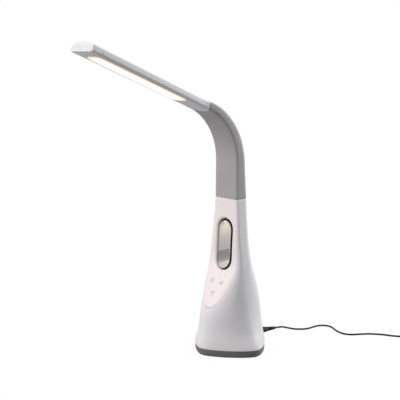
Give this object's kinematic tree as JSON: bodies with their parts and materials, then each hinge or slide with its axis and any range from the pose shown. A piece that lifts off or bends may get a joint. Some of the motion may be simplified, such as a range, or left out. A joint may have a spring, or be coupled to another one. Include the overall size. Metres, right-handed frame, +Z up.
{
  "type": "led table lamp",
  "caption": "LED table lamp: flared stand on a rounded diamond base, with a through fan window, a grey flexible arm bent forward, and a flat slim head lit from below.",
  "frame": {"origin": "on the table, at the middle of the base pad", "axes": "+Z up, -Y to the front, where the panel and the head face, +X to the side"},
  "size_m": [0.3066, 0.6117, 0.4779],
  "materials": {
    "pad": "matt grey silicone foam",
    "base_grey": "fine satin, mid grey",
    "body_white": "smooth satin white",
    "panel_white": "glossy warm white",
    "liner_grey": "satin light grey",
    "lens": "opal, lit from behind",
    "opal": "opal, lit from behind",
    "silicone": "matt grey silicone",
    "steel": "zinc plated",
    "springs": "bright",
    "board": "green board",
    "led_board_white": "white board",
    "chips": "phosphor",
    "inner_plastic": "moulded",
    "parts_black": "moulded",
    "cord_black": "satin black",
    "tie_black": "woven strap"
  },
  "bodies": {
    "stand": {"base_pad": "pad", "base_tray": "base_grey", "tray_screws": "steel", "ballast_plate": "steel", "body_shell": "body_white", "front_panel": "panel_white", "tunnel_liner": "liner_grey", "night_light_lens": "lens", "night_light_board": "board", "touch_board": "board", "touch_springs": "springs", "fan_housing": "inner_plastic", "fan_motor": "steel", "intake_grille": "body_white", "main_board": "board", "board_standoffs": "springs", "board_components": "parts_black", "dc_jack": "parts_black", "arm_anchor": "steel", "anchor_screws": "steel", "hinge_pin_1": "steel", "arm_sleeve_0": "silicone", "dc_plug": "cord_black", "plug_barrel": "steel", "cord": "cord_black", "cord_coil": "cord_black", "coil_tie": "tie_black", "usb_grip": "cord_black", "usb_shell": "steel"},
    "fan_rotor": {"fan_impeller": "inner_plastic", "fan_shaft": "steel"},
    "arm_lower": {"arm_link_1": "steel", "arm_sleeve_1": "silicone", "hinge_pin_2": "steel"},
    "arm_upper": {"arm_link_2": "steel", "arm_sleeve_2": "silicone", "hinge_pin_3": "steel"},
    "head": {"head_link": "steel", "arm_sleeve_3": "silicone", "head_cover": "body_white", "head_underside": "body_white", "diffuser": "opal", "reflector": "led_board_white", "led_board": "led_board_white", "led_chips": "chips", "head_screws": "steel"}
  },
  "joints": [
    {"name": "fan_spin", "type": "hinge", "parent": "stand", "child": "fan_rotor", "pos_m": [0, 0, 0.04], "axis": [0, 0, 1], "continuous": true},
    {"name": "arm_bend_low", "type": "hinge", "parent": "stand", "child": "arm_lower", "pos_m": [0, 0.0024, 0.2775], "axis": [1, 0, 0], "range_deg": [-20, 20]},
    {"name": "arm_bend_mid", "type": "hinge", "parent": "arm_lower", "child": "arm_upper", "pos_m": [0, -0.00302, 0.32949], "axis": [1, 0, 0], "range_deg": [-20, 20]},
    {"name": "arm_bend_top", "type": "hinge", "parent": "arm_upper", "child": "head", "pos_m": [0, -0.03196, 0.37244], "axis": [1, 0, 0], "range_deg": [-20, 20]}
  ]
}
